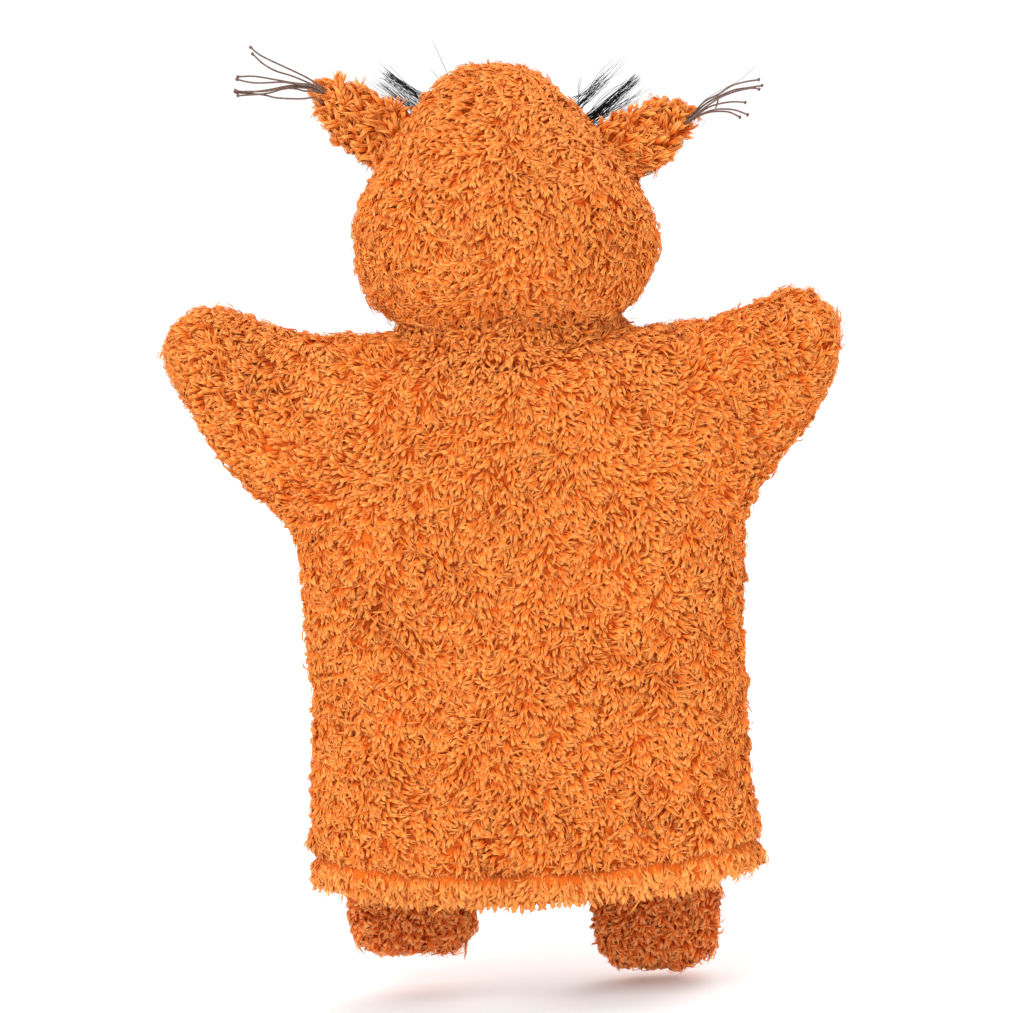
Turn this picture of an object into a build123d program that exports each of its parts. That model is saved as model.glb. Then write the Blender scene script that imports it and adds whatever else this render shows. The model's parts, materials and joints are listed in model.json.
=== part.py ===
"""Glove puppet: a furry animal worn over the hand.

Units are millimetres. +Z is up and the puppet faces -Y. The origin is the centre of the
hand opening, in the plane of the lower edge of the hem. "left" is the puppet's own left, +X.
"""
from build123d import *
import math
import os

# ---------------------------------------------------------------- cloth
plush_wall = 5.0            # backing and pile together
lining_wall = 1.2
joint_gap = 0.3             # clearance between pieces that move against each other

# ---------------------------------------------------------------- body
sleeve_width = 146.0
sleeve_depth = 56.0
body_top = 186.0
underarm_height = 126.0
hand_height = 200.0         # top of a raised paw
hand_reach = 112.0          # from the middle of the body to the end of a paw
paw_depth = 30.0
paw_top_length = 18.0       # from the end of the paw back to its highest point
paw_height = 31.0
underarm_fall = 8.0         # the side seam starts to turn outwards this far below the underarm
underarm_run = 7.0
underarm_climb = 6.0
shoulder_slope = 2.5        # the top edge of the body rises this much towards the arm
shoulder_slope_length = 22.0
arm_root_depth = 41.0       # thickness of the body where the arm starts
arm_middle_depth = 35.0
shoulder = Vector(66.0, 0.0, 158.0)
shoulder_radius = 42.0      # cloth inside this ball moves with the arm
arm_wall_start = 4.0        # above the underarm, the whole side wall moves with the arm
waist_height = 72.0
waist_radius = 36.0
hem_height = 12.0
hem_rise = 7.0              # the hem is lowest in the middle and curves up to the sides
hem_band_wall = 2.4
hem_band_gap = 0.1          # between the top of the band and the lining
stitch_radius = 0.45
stitch_count = 46
stitch_share = 0.5          # length of a stitch as a share of the space from one to the next
stitch_drop = 2.0           # stitches below the top of the band

# ---------------------------------------------------------------- neck
neck_opening_radius = 21.0
neck_ring_outer = 20.0
neck_ring_inner = 12.5
neck_ring_bottom = 176.5
neck_ring_top = 185.4
neck_thread_radius = 0.7

# ---------------------------------------------------------------- shoulder cuffs of the lining
cuff_outer = 11.4
cuff_inner = 9.6
cuff_length = 8.0

# ---------------------------------------------------------------- head
# height, half width, half depth
head_sections = (
    (191.5, 33.0, 15.0),
    (196.0, 42.0, 26.0),
    (205.0, 48.5, 35.0),
    (216.0, 51.0, 40.0),
    (229.0, 47.5, 41.0),
    (242.0, 40.5, 37.5),
    (256.0, 31.0, 29.0),
    (268.0, 20.0, 18.5),
    (275.0, 8.0, 7.5),
)
head_centre = Vector(0, 0, 225.0)
tube_inner = 10.0
tube_wall = 1.2
tube_top = 238.0
muzzle_centre = Vector(0, -35.0, 211.0)
muzzle_size = (20.0, 16.0, 13.0)
nose_centre = Vector(0, -49.0, 219.0)
nose_size = (6.0, 4.2, 4.4)
eye_spacing = 34.0
eye_height = 235.0
eye_radius = 4.6
eye_sink = 1.4              # middle of the eye behind the outside of the plush
shank_radius = 1.8
shank_length = 10.0
washer_depth = 3.0          # behind the plush wall
washer_radius = 6.5
washer_wall = 1.4
mouth_thread = 0.5
mouth_top = 215.2
mouth_low = 208.0
smile_centre = 217.0
smile_radius = 9.0
smile_half_width = 7.5
smile_top = 212.5

# ---------------------------------------------------------------- ears, drawn for the left one
ear_hinge = Vector(37.0, 1.0, 248.5)
ear_base_half = 10.5
ear_length = 28.0
ear_direction = 30.0        # degrees above the horizontal
ear_roll = {"left": 5.0, "right": -5.0}
ear_back_wall = 4.0
ear_front_wall = 2.2
ear_gap = 2.6               # from the hinge line to the edge of the cloth
thread_radius = 0.45
knot_radius = 0.95
thread_length = {"left": 25.0, "right": 22.0}
thread_fan = {"left": 38.0, "right": 34.0}
thread_count = {"left": 8, "right": 7}
thread_root_width = 6.0     # the threads come out of the tip side by side over this width
thread_layer = 0.75         # half the space between the two layers of threads
hair_root = Vector(23.0, -13.0, 257.0)
hair_length = 22.0
hair_root_radius = 5.0
hair_tip_radius = 2.0
hair_direction = 44.0       # degrees above the horizontal

# ---------------------------------------------------------------- feet
foot_middle = {"left": 42.0, "right": 41.0}     # from the middle of the body
foot_half_width = 22.0
foot_half_depth = 12.0
foot_height = {"left": 23.5, "right": 32.5}
foot_drop = -0.6            # hinge line below the lowest edge of the hem
foot_plush_wall = 4.0
foot_hinge_y = -sleeve_depth / 2 - 0.6

sides = {"left": 1, "right": -1}
far = 400.0                 # half size of the blocks that cut the shapes apart
below_hem = 60.0            # the body is drawn on this far below the hem, then trimmed to it
nodes = {}


def ball(centre, radius):
    return Pos(*centre) * Sphere(radius)


def ellipsoid(centre, size):
    """Ellipsoid with the half sizes given along X, Y and Z."""
    return Pos(*centre) * scale(Sphere(1.0), by=tuple(size))


def largest(shape):
    """The main solid, without the slivers that two close curved cuts leave at a corner."""
    return max(shape.solids(), key=lambda solid: solid.volume)


def block(low, high):
    size = [b - a for a, b in zip(low, high)]
    middle = [(a + b) / 2 for a, b in zip(low, high)]
    return Pos(*middle) * Box(*size)


def on_side(shape, side):
    """The left shape as it is, or mirrored for the right."""
    return shape if sides[side] > 0 else mirror(shape, about=Plane.YZ)


# ---------------------------------------------------------------- the T-shaped body
def front_outline(inset):
    """Half of the body seen from the front, in the XZ plane, open below the hem."""
    half = sleeve_width / 2
    side_top = (half, underarm_height - underarm_fall)
    palm_start = (half + underarm_run, underarm_height + underarm_climb)
    palm_end = (hand_reach - 0.2 * paw_height, hand_height - paw_height)
    paw_top = (hand_reach - paw_top_length, hand_height)
    edge = Polyline((0, -below_hem), (half, -below_hem), side_top)
    under = ThreePointArc(
        side_top,
        (half + 0.29 * underarm_run, underarm_height - 0.12 * underarm_fall),
        palm_start,
    )
    palm = Line(palm_start, palm_end)
    paw = ThreePointArc(
        palm_end,
        (hand_reach - 0.13 * paw_top_length, hand_height - 0.23 * paw_height),
        paw_top,
    )
    slope_start = half - shoulder_slope_length - 4
    top = Polyline(
        paw_top,
        (slope_start + shoulder_slope_length, body_top + shoulder_slope),
        (slope_start, body_top),
        (0, body_top),
        (0, -below_hem),
    )
    half_face = make_face(Curve() + [edge, under, palm, paw, top])
    face = half_face + mirror(half_face, about=Plane.YZ)
    return offset(face, -inset) if inset else face


def plan_outline(inset):
    """The body seen from above: a flat oval sleeve with an arm tapering out on each side."""
    half_depth = sleeve_depth / 2
    quarter = make_face(
        Polyline(
            (0, 0),
            (0, half_depth),
            (shoulder.X - 0.5 * arm_root_depth, half_depth),
            (shoulder.X, 0.5 * arm_root_depth),
            (hand_reach - 1.2 * paw_top_length, 0.5 * arm_middle_depth),
            (hand_reach - 0.4 * paw_top_length, 0.4 * paw_depth),
            (hand_reach, paw_depth / 6),
            (hand_reach, 0),
            (0, 0),
        )
    )
    half = quarter + mirror(quarter, about=Plane.XZ)
    face = half + mirror(half, about=Plane.YZ)
    return offset(face, -inset) if inset else face


def body_blank(inset):
    """The body as a solid, drawn in by an equal amount all round."""
    tall = Plane.XZ * front_outline(inset)
    tall = extrude(tall, sleeve_depth, both=True)
    flat = Pos(0, 0, -far) * extrude(plan_outline(inset), 2 * far)
    sleeve = SlotOverall(sleeve_width - 2 * inset, sleeve_depth - 2 * inset)
    lower = Pos(0, 0, -below_hem) * extrude(sleeve, below_hem + underarm_height)
    upper = block((-far, -far, underarm_height), (far, far, far))
    return (tall & flat & upper) + (tall & lower)


def hem_curve_height(x, level):
    """Height at x of a line that lies at this level in the middle and curves up like the hem."""
    half = sleeve_width / 2
    radius = (half**2 + hem_rise**2) / (2 * hem_rise)
    return level + radius - math.sqrt(radius**2 - x**2)


def above_hem(level):
    """Everything above the curved hem line, moved up to this level."""
    half = 0.7 * sleeve_width
    arc = ThreePointArc(
        (-half, hem_curve_height(-half, level)),
        (0, level),
        (half, hem_curve_height(half, level)),
    )
    rest = Polyline(
        (half, hem_curve_height(half, level)),
        (far, below_hem),
        (far, far),
        (-far, far),
        (-far, below_hem),
        (-half, hem_curve_height(-half, level)),
    )
    return extrude(Plane.XZ * make_face(Curve() + [arc, rest]), far, both=True)


def layer(outer_inset, thickness):
    """A closed wall of the body, open at the hem."""
    wall = body_blank(outer_inset) - body_blank(outer_inset + thickness)
    return wall & above_hem(0)


def waist_barrel(radius):
    return Pos(0, 0, waist_height) * Rot(0, 90, 0) * Cylinder(radius, 3 * sleeve_width)


def skirt_part(wall):
    keep = wall & block((-far, -far, -1), (far, far, waist_height))
    return keep - waist_barrel(waist_radius + joint_gap)


def arm_domain(side, radius):
    centre = Vector(sides[side] * shoulder.X, shoulder.Y, shoulder.Z)
    start = (sleeve_width / 2, -far, underarm_height + arm_wall_start)
    outer = on_side(block(start, (far, far, far)), side)
    return ball(centre, radius) + outer


def torso_part(wall):
    below = block((-far, -far, -1), (far, far, waist_height)) - waist_barrel(waist_radius)
    keep = wall - below
    for side in sides:
        keep = keep - arm_domain(side, shoulder_radius + joint_gap)
    hole = Pos(0, 0, body_top) * Cylinder(neck_opening_radius, 4 * plush_wall)
    return keep - hole


def arm_part(wall, side):
    return wall & arm_domain(side, shoulder_radius)


def front_half(shape):
    return shape & block((-far, -far, -far), (far, 0, far))


def back_half(shape):
    return shape & block((-far, 0, -far), (far, far, far))


def make_body():
    plush = layer(0, plush_wall)
    lining = layer(plush_wall, lining_wall)
    skirt = skirt_part(plush)
    torso = largest(torso_part(plush))
    nodes["skirt_back_panel"] = back_half(skirt)
    nodes["skirt_front_panel"] = front_half(skirt)
    nodes["torso_back_panel"] = back_half(torso)
    nodes["torso_front_panel"] = front_half(torso)
    nodes["skirt_lining"] = skirt_part(lining) & above_hem(hem_height)
    nodes["torso_lining"] = largest(torso_part(lining))
    for side in sides:
        arm = largest(arm_part(plush, side))
        nodes[f"{side}_arm_back_panel"] = back_half(arm)
        nodes[f"{side}_arm_front_panel"] = front_half(arm)
        nodes[f"{side}_arm_lining"] = largest(arm_part(lining, side))


def make_hem():
    outer = SlotOverall(sleeve_width - 2 * plush_wall, sleeve_depth - 2 * plush_wall)
    inset = plush_wall + hem_band_wall
    inner = SlotOverall(sleeve_width - 2 * inset, sleeve_depth - 2 * inset)
    ring = extrude(outer - inner, 2 * (hem_height + hem_rise))
    band = (ring & above_hem(0)) - above_hem(hem_height - hem_band_gap)
    nodes["hem_stitching"] = stitch_row(inset - stitch_radius / 2)
    nodes["hem_band"] = band - nodes["hem_stitching"]


def stitch_row(inset):
    """A row of short stitches along the inside of the hem band."""
    path = SlotOverall(sleeve_width - 2 * inset, sleeve_depth - 2 * inset).wire()
    length = path.length / stitch_count * stitch_share
    stitches = []
    for i in range(stitch_count):
        place = path.location_at(i / stitch_count)
        along = path.tangent_at(i / stitch_count)
        turn = math.degrees(math.atan2(along.Y, along.X))
        bar = Rot(0, 90, 0) * Cylinder(stitch_radius, length)
        height = hem_curve_height(place.position.X, hem_height - stitch_drop)
        spot = Pos(place.position.X, place.position.Y, height)
        stitches.append(spot * Rot(0, 0, turn) * bar)
    return Compound(stitches)


def make_neck():
    height = neck_ring_top - neck_ring_bottom
    middle = (neck_ring_top + neck_ring_bottom) / 2
    ring = Pos(0, 0, middle) * (Cylinder(neck_ring_outer, height) - Cylinder(neck_ring_inner, height))
    thread = Pos(0, 0, middle) * Torus(neck_ring_outer - neck_thread_radius / 2, neck_thread_radius)
    nodes["neck_gather"] = ring - thread
    nodes["neck_thread"] = thread


def make_shoulder_cuffs():
    for side, sign in sides.items():
        cuff = Cylinder(cuff_outer, cuff_length) - Cylinder(cuff_inner, cuff_length)
        place = Pos(sign * shoulder.X, shoulder.Y, shoulder.Z)
        nodes[f"{side}_shoulder_cuff"] = place * Rot(0, 90, 0) * cuff


# ---------------------------------------------------------------- head
def head_blank(inset):
    faces = []
    low = head_sections[0][0] + inset
    high = head_sections[-1][0] - inset
    span = head_sections[-1][0] - head_sections[0][0]
    for height, half_width, half_depth in head_sections:
        share = (height - head_sections[0][0]) / span
        level = low + share * (high - low)
        oval = Ellipse(max(half_width - inset, 2.5), max(half_depth - inset, 2.0))
        faces.append(Pos(0, 0, level) * oval)
    return loft(faces)


def face_point(x, height, outer):
    """The point on the front of the head at this x and height, found with a thin needle."""
    needle = Pos(x, -sleeve_depth, height) * Rot(90, 0, 0) * Cylinder(0.05, 2 * sleeve_depth)
    touch = (needle & outer).bounding_box().min
    return Vector(x, touch.Y, height)


def make_head():
    outer = head_blank(0)
    inner = head_blank(plush_wall)
    tube_outer = tube_inner + tube_wall
    tube_bottom = head_sections[0][0]
    tube_middle = (tube_bottom + tube_top) / 2
    tube_length = tube_top - tube_bottom
    core = Pos(0, 0, tube_middle) * Cylinder(tube_outer, tube_length)
    hollow = Pos(0, 0, tube_middle) * Cylinder(tube_inner, tube_length)
    cover = outer - inner - core
    stuffing = inner - core
    nodes["finger_tube"] = core - hollow

    muzzle = ellipsoid(muzzle_centre, muzzle_size) - outer
    nose = ellipsoid(nose_centre, nose_size) - outer
    nodes["muzzle"] = muzzle - nose
    nodes["nose"] = nose
    nodes["mouth_stitch"] = make_mouth(outer) - nose
    nodes["muzzle"] = nodes["muzzle"] - nodes["mouth_stitch"]

    for side, sign in sides.items():
        spot = face_point(sign * eye_spacing / 2, eye_height, outer)
        dome = ball(spot + Vector(0, eye_sink, 0), eye_radius) - outer
        middle = spot + Vector(0, shank_length / 2, 0)
        shank = Pos(*middle) * Rot(90, 0, 0) * Cylinder(shank_radius, shank_length)
        eye = dome + shank
        back = spot + Vector(0, plush_wall + washer_depth, 0)
        washer = Pos(*back) * Rot(90, 0, 0) * Cylinder(washer_radius, washer_wall)
        nodes[f"{side}_eye"] = eye
        nodes[f"{side}_eye_washer"] = washer - eye
        cover = cover - eye - washer
        stuffing = stuffing - eye - washer

    nodes["head_back_panel"] = back_half(cover)
    nodes["head_face_panel"] = front_half(cover)
    nodes["head_stuffing"] = stuffing
    make_hair(outer)


def make_mouth(outer):
    """A stitched line down from the nose and a shallow smile across the muzzle."""
    front = ellipsoid(muzzle_centre, muzzle_size) - outer
    skin = front - ellipsoid(muzzle_centre, [s - mouth_thread * 2 for s in muzzle_size])
    reach = sleeve_width / 2
    drop = block((-mouth_thread, -reach, mouth_low), (mouth_thread, muzzle_centre.Y, mouth_top))
    ring = Cylinder(smile_radius + mouth_thread, reach) - Cylinder(smile_radius - mouth_thread, reach)
    smile = Pos(0, muzzle_centre.Y - reach / 2, smile_centre) * Rot(90, 0, 0) * ring
    low = smile_centre - 2 * smile_radius
    smile = smile & block((-smile_half_width, -reach, low), (smile_half_width, muzzle_centre.Y, smile_top))
    return skin & (drop + smile)


def make_hair(outer):
    for side in sides:
        turn = ear_roll[side]
        cone = Pos(0, 0, hair_length / 2) * Cone(hair_root_radius, hair_tip_radius, hair_length)
        tuft = Pos(*hair_root) * Rot(0, 90 - hair_direction, 0) * cone
        tuft = roll_about_head(tuft, turn) - outer
        nodes[f"{side}_hair_tuft"] = on_side(tuft, side)


def roll_about_head(shape, degrees):
    """Turn a left-hand shape about the middle of the head, upwards for a positive angle."""
    centre = Pos(*head_centre)
    return centre * Rot(0, -degrees, 0) * Pos(*(-head_centre)) * shape


# ---------------------------------------------------------------- ears
def ear_leaf():
    """Leaf outline in the XY plane, its base across the origin and its tip along +X."""
    half = ear_base_half
    start = ear_gap
    lower = ThreePointArc((start, -half), (start + ear_length * 0.5, -half * 0.84), (ear_length, 0))
    upper = ThreePointArc((ear_length, 0), (start + ear_length * 0.45, half * 0.72), (start, half))
    return make_face(Curve() + [lower, upper, Line((start, half), (start, -half))])


def make_ears():
    for side in sides:
        turn = ear_roll[side]
        place = Pos(*ear_hinge) * Rot(0, -ear_direction, 0) * Rot(90, 0, 0)
        leaf = ear_leaf()
        back = Pos(0, 0, -ear_back_wall) * extrude(leaf, ear_back_wall)
        front = extrude(leaf, ear_front_wall)
        for name, shapes in (("back", [back]), ("front", [front]), ("threads", make_threads(side))):
            solids = [on_side(roll_about_head(place * shape, turn), side) for shape in shapes]
            nodes[f"{side}_ear_{name}"] = Compound(solids)


def make_threads(side):
    """Waxed threads fanned out from the tip of the ear, each ending in a knot."""
    strands = []
    count = thread_count[side]
    length = thread_length[side]
    for i in range(count):
        share = i / (count - 1) - 0.5
        angle = share * thread_fan[side]
        layer_height = thread_layer * (2 * (i % 2) - 2)
        start = Vector(ear_length + joint_gap, share * thread_root_width, layer_height)
        along = Vector(math.cos(math.radians(angle)), math.sin(math.radians(angle)), 0)
        reach = length * (0.86 + 0.14 * math.cos(2.4 * i))
        strand = Pos(reach / 2, 0, 0) * Rot(0, 90, 0) * Cylinder(thread_radius, reach)
        knot = Pos(reach, 0, 0) * Sphere(knot_radius)
        turn = math.degrees(math.atan2(along.Y, along.X))
        strands.append(Pos(*start) * Rot(0, 0, turn) * (strand + knot))
    return strands


# ---------------------------------------------------------------- feet
def make_feet():
    for side, sign in sides.items():
        half_height = foot_height[side] / 2
        x = sign * foot_middle[side]
        centre = Vector(x, foot_hinge_y, -foot_drop - half_height)
        outer = ellipsoid(centre, (foot_half_width, foot_half_depth, half_height))
        wall = foot_plush_wall
        inner_size = (foot_half_width - wall, foot_half_depth - wall, half_height - wall)
        inner = ellipsoid(centre, inner_size)
        nodes[f"{side}_foot_cover"] = outer - inner
        nodes[f"{side}_foot_stuffing"] = inner


def main():
    make_body()
    make_hem()
    make_neck()
    make_shoulder_cuffs()
    make_head()
    make_ears()
    make_feet()
    os.makedirs("parts", exist_ok=True)
    for name, shape in nodes.items():
        export_step(shape, f"parts/{name}.step")
        print(name, round(shape.volume / 1000, 2), "cm3")


main()
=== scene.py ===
import json
import math

import bpy
import numpy as np
from mathutils import Matrix, Vector
from mathutils.geometry import delaunay_2d_cdt


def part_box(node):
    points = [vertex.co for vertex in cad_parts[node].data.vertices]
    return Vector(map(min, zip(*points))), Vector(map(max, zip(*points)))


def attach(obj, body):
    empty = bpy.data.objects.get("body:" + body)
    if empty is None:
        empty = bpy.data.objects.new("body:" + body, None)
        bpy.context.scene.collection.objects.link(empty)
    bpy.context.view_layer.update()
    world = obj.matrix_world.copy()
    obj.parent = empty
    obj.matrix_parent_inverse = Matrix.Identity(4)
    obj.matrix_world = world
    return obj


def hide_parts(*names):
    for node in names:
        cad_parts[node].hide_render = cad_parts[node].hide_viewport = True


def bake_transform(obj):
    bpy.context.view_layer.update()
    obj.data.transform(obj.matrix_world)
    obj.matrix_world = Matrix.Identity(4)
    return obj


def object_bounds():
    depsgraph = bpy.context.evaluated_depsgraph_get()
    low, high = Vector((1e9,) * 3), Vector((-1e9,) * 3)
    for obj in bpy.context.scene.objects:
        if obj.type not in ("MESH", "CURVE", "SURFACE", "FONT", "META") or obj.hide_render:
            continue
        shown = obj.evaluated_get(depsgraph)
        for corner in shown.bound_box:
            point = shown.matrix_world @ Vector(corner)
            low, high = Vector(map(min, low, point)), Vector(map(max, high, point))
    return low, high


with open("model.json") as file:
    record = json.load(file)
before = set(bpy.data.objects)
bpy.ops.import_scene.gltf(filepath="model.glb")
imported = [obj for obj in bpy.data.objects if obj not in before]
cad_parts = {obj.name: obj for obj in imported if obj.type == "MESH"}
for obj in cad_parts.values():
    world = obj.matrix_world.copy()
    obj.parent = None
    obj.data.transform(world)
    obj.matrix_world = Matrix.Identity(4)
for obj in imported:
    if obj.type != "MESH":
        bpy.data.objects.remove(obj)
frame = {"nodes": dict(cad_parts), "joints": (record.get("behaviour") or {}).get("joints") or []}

cad_low, cad_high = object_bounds()

MM = 0.001
UV_NAME = "OFBake"          # the pile's colours are drawn along each lock in this map
PILE = 3.2 * MM             # how far the cloth lies inside the outside of the pile
SIDES = {"left": 1.0, "right": -1.0}

# ------------------------------------------------------------------ measures read from the frame
half_width, half_depth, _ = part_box("skirt_back_panel")[1]
reach, _, hand_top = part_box("left_arm_back_panel")[1]
joints = {joint["name"]: joint for joint in frame["joints"]}
waist_height = joints["waist_bow"]["pos_m"][2]
shoulder_x, _, shoulder_z = joints["left_arm_raise"]["pos_m"]

# ------------------------------------------------------------------ other measures of the body
body_top = 186.0 * MM
waist_zone = (44 * MM, 100 * MM)        # the sleeve bends between these heights
armpit_height = 127 * MM
hem_rise = 7 * MM                       # how far the lower edge curves up from the middle to the sides
hem_height = 12 * MM                    # the plush is turned up inside as far as this
crease_height = 10.5 * MM               # the row of stitches, above the lower edge
crease_depth, crease_reach = 2.0 * MM, 2.8 * MM
bound_height = 181.0 * MM               # the thread that binds the neck, and the room it needs
bound_radius = 21.8 * MM
bound_reach = 10 * MM                   # above and below it the body narrows again over this height
neck_hole_radius = 12.6 * MM


# ------------------------------------------------------------------ small maths
class Waves:
    """Smooth repeatable noise of about unit size: sine waves in random directions."""

    def __init__(self, seed, wavelength, count=12):
        rng = np.random.default_rng(seed)
        direction = rng.normal(size=(count, 3))
        direction /= np.linalg.norm(direction, axis=1)[:, None]
        length = wavelength * rng.uniform(0.7, 1.6, count)
        self.k = direction * (2 * np.pi / length)[:, None]
        self.phase = rng.uniform(0, 2 * np.pi, count)
        self.size = math.sqrt(2.0 / count)

    def __call__(self, points):
        return np.sin(points @ self.k.T + self.phase).sum(1) * self.size


def unit(v):
    """Vectors brought to length one."""
    return v / np.maximum(np.linalg.norm(v, axis=-1, keepdims=True), 1e-12)


def smooth_curve(points, step, closed=False):
    """Points at about this step along a Catmull-Rom curve through the given ones."""
    p = np.asarray(points, float)
    if closed:
        p = np.vstack([p[-1], p, p[0], p[1]])
    else:
        p = np.vstack([2 * p[0] - p[1], p, 2 * p[-1] - p[-2]])
    out = []
    for a, b, c, d in zip(p[:-3], p[1:-2], p[2:-1], p[3:]):
        count = max(2, int(np.linalg.norm(c - b) / step))
        t = np.linspace(0, 1, count, endpoint=False)[:, None]
        out.append(
            0.5 * (2 * b + (c - a) * t + (2 * a - 5 * b + 4 * c - d) * t**2
                   + (3 * b - a - 3 * c + d) * t**3)
        )
    if not closed:
        out.append(p[-2][None])
    return np.vstack(out)


def looped(rim):
    """A closed outline with its first point again at the end."""
    return np.vstack([rim, rim[:1]])


def turns_left(rim):
    """Whether a closed outline runs round its inside anticlockwise."""
    return np.sum(rim[:, 0] * np.roll(rim[:, 1], -1) - np.roll(rim[:, 0], -1) * rim[:, 1]) >= 0


def inward(rim):
    """Unit vectors from a closed outline to its inside."""
    along = unit(np.roll(rim, -1, axis=0) - np.roll(rim, 1, axis=0))
    if not turns_left(rim):
        along = -along
    return np.stack([-along[:, 1], along[:, 0]], 1)


def near_axis(points, radius):
    """Which points lie within this radius of the Z axis."""
    return np.hypot(points[:, 0], points[:, 1]) < radius


def distance_to(points, line):
    """Shortest distance from each 2-D point to a line of points."""
    a, ab = line[:-1], np.diff(line, axis=0)
    best = np.full(len(points), 1e9)
    for start, step in zip(a, ab):
        ap = points - start
        t = np.clip(ap @ step / max(step @ step, 1e-18), 0, 1)
        best = np.minimum(best, np.linalg.norm(ap - t[:, None] * step, axis=1))
    return best


def inside(points, rim):
    """Which 2-D points lie inside a closed outline."""
    x, y = points.T
    result = np.zeros(len(points), bool)
    for (x0, y0), (x1, y1) in zip(rim, np.roll(rim, -1, axis=0)):
        crosses = (y0 > y) != (y1 > y)
        if crosses.any():
            at = x0 + (y - y0) * (x1 - x0) / ((y1 - y0) or 1e-12)
            result ^= crosses & (x < at)
    return result


# ------------------------------------------------------------------ skins
class Skin:
    """A triangle mesh with its normals, as arrays."""

    def __init__(self, points, faces):
        self.points = np.asarray(points, float)
        self.faces = np.asarray(faces, int)
        corner = self.points[self.faces]
        cross = np.cross(corner[:, 1] - corner[:, 0], corner[:, 2] - corner[:, 0])
        self.areas = np.linalg.norm(cross, axis=1) / 2
        normals = np.zeros_like(self.points)
        for i in range(3):
            np.add.at(normals, self.faces[:, i], cross)
        self.normals = unit(normals)

    def part(self, chosen):
        """The faces chosen by a mask, with the whole skin's normals kept."""
        faces = self.faces[chosen]
        used, renumbered = np.unique(faces, return_inverse=True)
        piece = Skin(self.points[used], renumbered.reshape(-1, 3))
        piece.normals = self.normals[used]
        return piece

    def centres(self):
        return self.points[self.faces].mean(1)

    def reversed(self):
        """The same surface seen from its other side."""
        skin = Skin(self.points, self.faces[:, ::-1])
        skin.normals = -self.normals
        return skin

    def placed(self, matrix):
        """Turned and moved by a 4x4 matrix."""
        turn, shift = np.array(matrix)[:3, :3], np.array(matrix)[:3, 3]
        skin = Skin(self.points @ turn.T + shift, self.faces)
        skin.normals = self.normals @ turn.T
        return skin


def pillow(rim, edge, depth, spacing, ring_steps=(0.35, 1.3, 3.0, 5.5, 9.0)):
    """A stuffed flat shape in the XZ plane. The thickness starts at the edge line and rounds up
    to the depth that depth(points) gives; rim is the closed outline of the cloth. Its points lie on
    rings at ring_steps (mm) from the rim and, further in, on a grid of this spacing."""
    if not turns_left(rim):
        rim = rim[::-1]
    into = inward(rim)
    sets = [rim]
    for step in ring_steps:
        ring = rim + into * step * MM
        clear = distance_to(ring, looped(rim)) > step * MM * 0.97
        sets.append(ring[inside(ring, rim) & clear])
    low, high = rim.min(0), rim.max(0)
    grid = []
    for i, z in enumerate(np.arange(low[1], high[1], spacing * 0.87)):
        grid += [(x, z) for x in np.arange(low[0] + (i % 2) * spacing / 2, high[0], spacing)]
    grid = np.array(grid)
    far = distance_to(grid, looped(rim)) > ring_steps[-1] * MM + spacing * 0.5
    sets.append(grid[inside(grid, rim) & far])
    flat = np.vstack(sets)
    result = delaunay_2d_cdt([Vector(p) for p in flat], [], [list(range(len(rim)))], 1, 1e-9)
    flat = np.array([tuple(v) for v in result[0]])
    faces = np.array([f for f in result[2] if len(f) == 3])
    deep = depth(flat)
    from_edge = distance_to(flat, edge)
    half = deep * np.sqrt(np.clip(1 - (1 - np.minimum(from_edge / deep, 1)) ** 2, 0, 1))
    half[from_edge < 1e-6] = 0
    count = len(flat)
    front = np.column_stack([flat[:, 0], -half, flat[:, 1]])
    back = np.column_stack([flat[:, 0], half, flat[:, 1]])
    partner = np.where(half == 0, np.arange(count), np.arange(count) + count)
    flip = front[faces]
    up = np.cross(flip[:, 1] - flip[:, 0], flip[:, 2] - flip[:, 0])[:, 1]
    faces[up > 0] = faces[up > 0][:, ::-1]
    both = np.vstack([faces, partner[faces][:, ::-1]])
    points = np.vstack([front, back])
    used, renumbered = np.unique(both, return_inverse=True)
    return Skin(points[used], renumbered.reshape(-1, 3))


def tube_faces(rings, closed=False):
    """Points and triangles of a surface through rings of equal count; closed joins last to first."""
    turns = len(rings[0])
    points = np.vstack(rings)
    step = np.arange(turns)
    nxt = (step + 1) % turns
    faces = []
    for i in range(len(rings) if closed else len(rings) - 1):
        a, b = i * turns, ((i + 1) % len(rings)) * turns
        faces.append(np.column_stack([a + step, a + nxt, b + nxt]))
        faces.append(np.column_stack([a + step, b + nxt, b + step]))
    return points, np.vstack(faces)


def even_depth(depth):
    """The same depth everywhere, for pillow()."""
    return lambda flat: np.full(len(flat), depth)


def lathe(profile, turns, squareness=2.0):
    """A closed round shape from (height, half width, half depth) points, oval in plan."""
    curve = smooth_curve(profile, 3 * MM)
    angle = np.linspace(0, 2 * np.pi, turns, endpoint=False)
    power = 2.0 / squareness
    across = np.sign(np.cos(angle)) * np.abs(np.cos(angle)) ** power
    along = np.sign(np.sin(angle)) * np.abs(np.sin(angle)) ** power
    rings = [np.column_stack([w * across, d * along, np.full(turns, z)]) for z, w, d in curve[1:-1]]
    points, faces = tube_faces(rings)
    bottom, top = len(points), len(points) + 1
    points = np.vstack([points, [[0, 0, curve[0][0]], [0, 0, curve[-1][0]]]])
    step = np.arange(turns)
    nxt = (step + 1) % turns
    last = (len(rings) - 1) * turns
    below = np.column_stack([np.full(turns, bottom), nxt, step])
    above = np.column_stack([np.full(turns, top), last + step, last + nxt])
    return Skin(points, np.vstack([faces, below, above]))


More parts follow.
